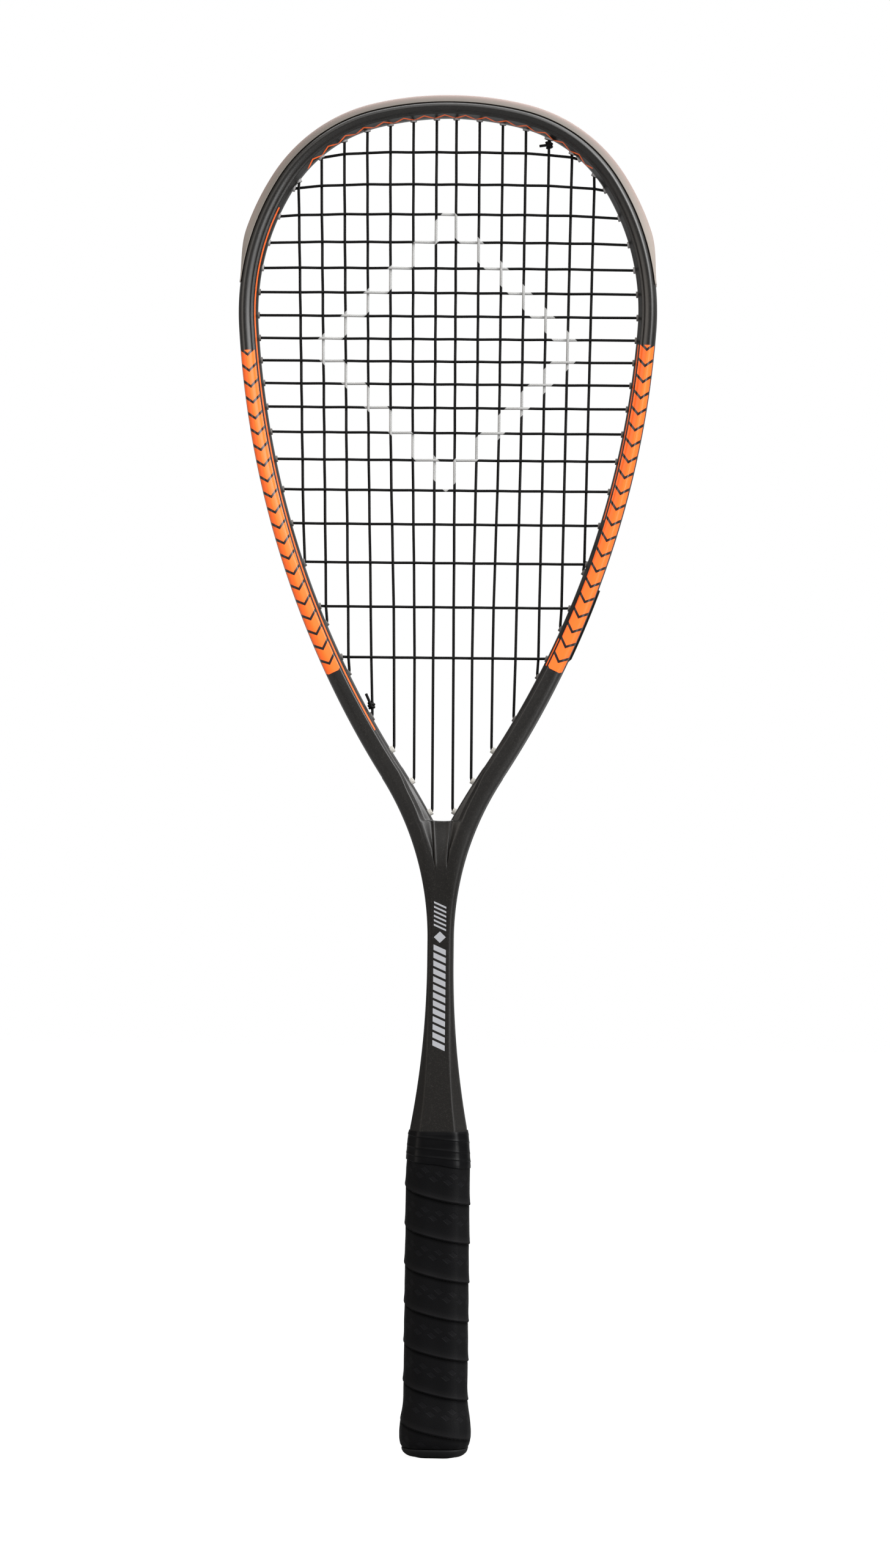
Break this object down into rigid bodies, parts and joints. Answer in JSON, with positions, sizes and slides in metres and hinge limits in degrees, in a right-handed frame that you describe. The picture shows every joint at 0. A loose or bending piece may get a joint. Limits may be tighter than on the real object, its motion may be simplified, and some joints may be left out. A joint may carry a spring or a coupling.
{
  "type": "squash racket",
  "caption": "Teardrop-head squash racket with an open V throat, woven string bed, translucent bumper guard, slim shaft and spirally wrapped handle.",
  "frame": {"origin": "centre of the flat butt end", "axes": "+Z along the racket from the butt to the crown, X across the head, -Y towards the front face"},
  "size_m": [0.2106, 0.033, 0.686],
  "materials": {
    "lacquered_composite": "dark graphite grey metallic lacquer with fine flake, satin to gloss",
    "handle_foam": "rigid moulded polyurethane foam",
    "plug_foam": "cut closed-cell foam",
    "cap_plastic": "black moulded nylon",
    "staple_steel": "galvanised wire",
    "underlay_tape": "thin double-sided cloth tape",
    "grip_pu": "black cushioned polyurethane wrap, fine grain, low sheen",
    "finishing_vinyl": "black stretch vinyl tape",
    "guard_nylon": "translucent warm grey nylon, satin",
    "strip_nylon": "black nylon",
    "clear_nylon": "translucent whitish nylon",
    "string_nylon": "black multifilament string with a wear coating"
  },
  "bodies": {
    "root": {"frame": "lacquered_composite", "handle_pallet": "handle_foam", "duct_plugs": "plug_foam", "butt_cap": "cap_plastic", "butt_staples": "staple_steel", "grip_underlay": "underlay_tape", "grip_tape": "grip_pu", "finishing_tape": "finishing_vinyl", "bumper_guard": "guard_nylon", "grommet_strip_left": "strip_nylon", "grommet_strip_right": "strip_nylon", "throat_grommets_left": "clear_nylon", "throat_grommets_right": "clear_nylon", "main_strings": "string_nylon", "cross_strings": "string_nylon", "tie_off_knot_top": "string_nylon", "tie_off_knot_throat": "string_nylon"}
  },
  "joints": []
}
